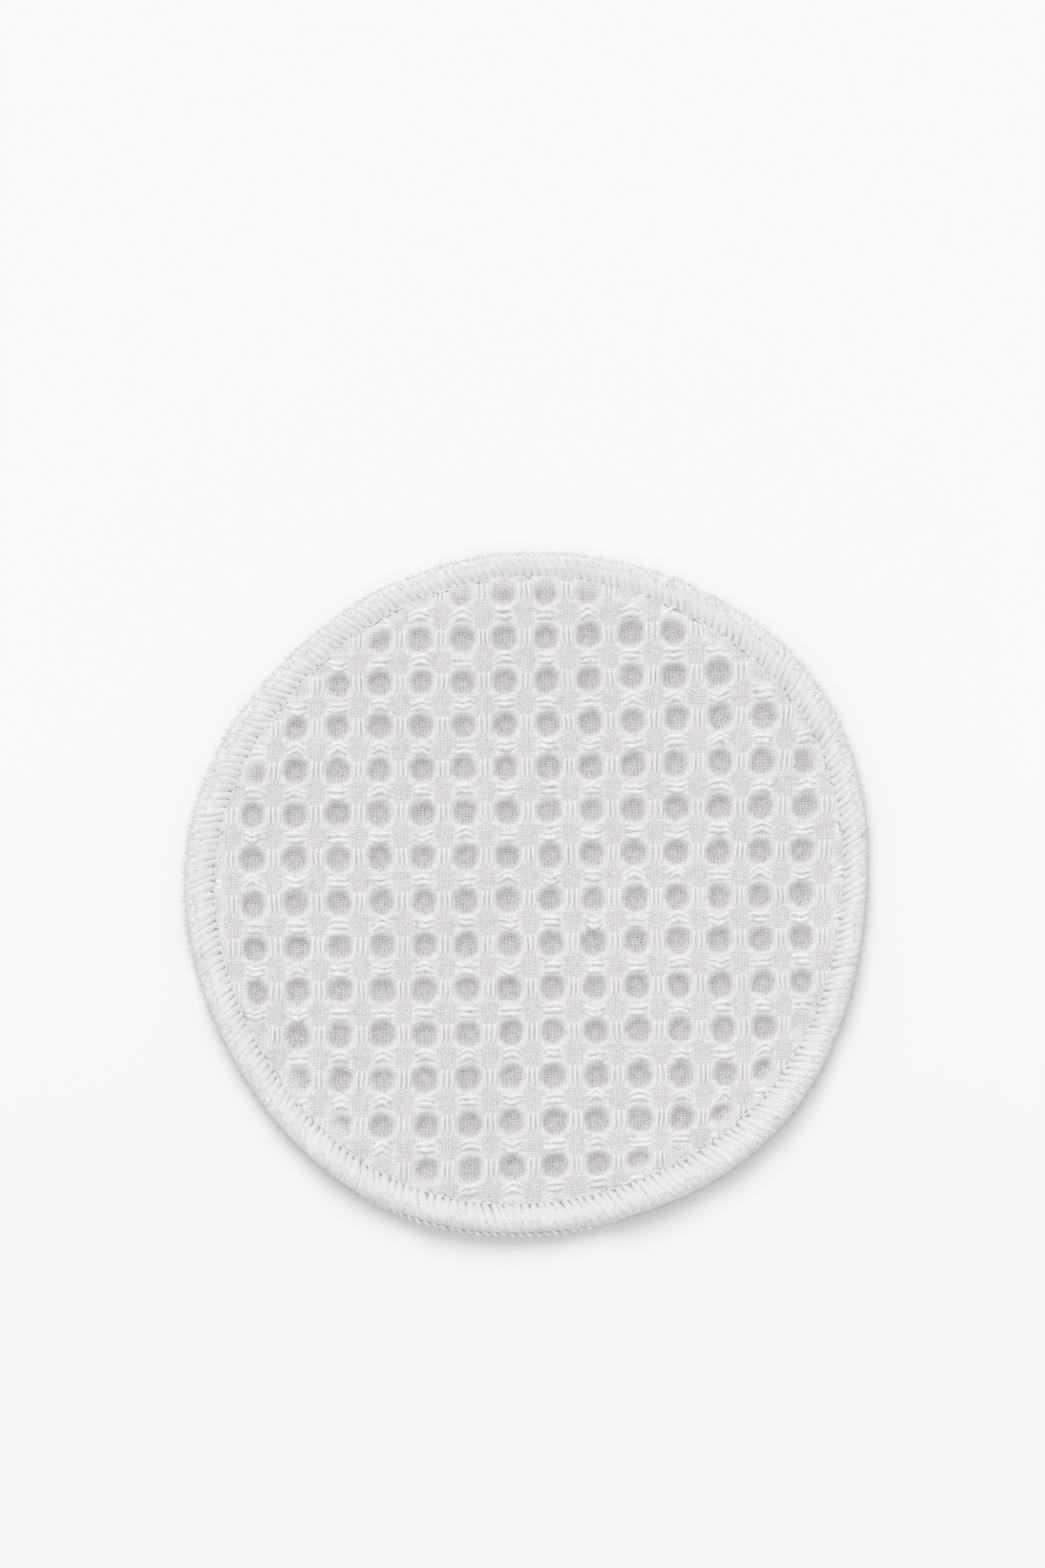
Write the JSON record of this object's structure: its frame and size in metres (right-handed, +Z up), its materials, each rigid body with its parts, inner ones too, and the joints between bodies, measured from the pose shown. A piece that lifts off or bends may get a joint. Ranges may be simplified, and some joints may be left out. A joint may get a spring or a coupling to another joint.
{
  "type": "cotton pad",
  "caption": "Round reusable cotton pad: a disc of waffle-weave cloth whose cut edge is wrapped in overlock stitching, for wiping and cleansing skin.",
  "frame": {"origin": "centre of the round pad, on the plane that its underside rests on", "axes": "+Z up out of the face that the picture shows, through the pad's thickness; +Y towards the top of that face as pictured, along the rows of upright floats; +X to its right"},
  "size_m": [0.08, 0.08, 0.0026],
  "materials": {
    "waffle_cotton": "matte woven cotton, white",
    "looper_cotton": "soft fluffy cotton thread, white",
    "needle_cotton": "fine twisted cotton thread, white"
  },
  "bodies": {
    "root": {"waffle_cloth": "waffle_cotton", "overlock_edge": "looper_cotton", "needle_thread": "needle_cotton"}
  },
  "joints": []
}
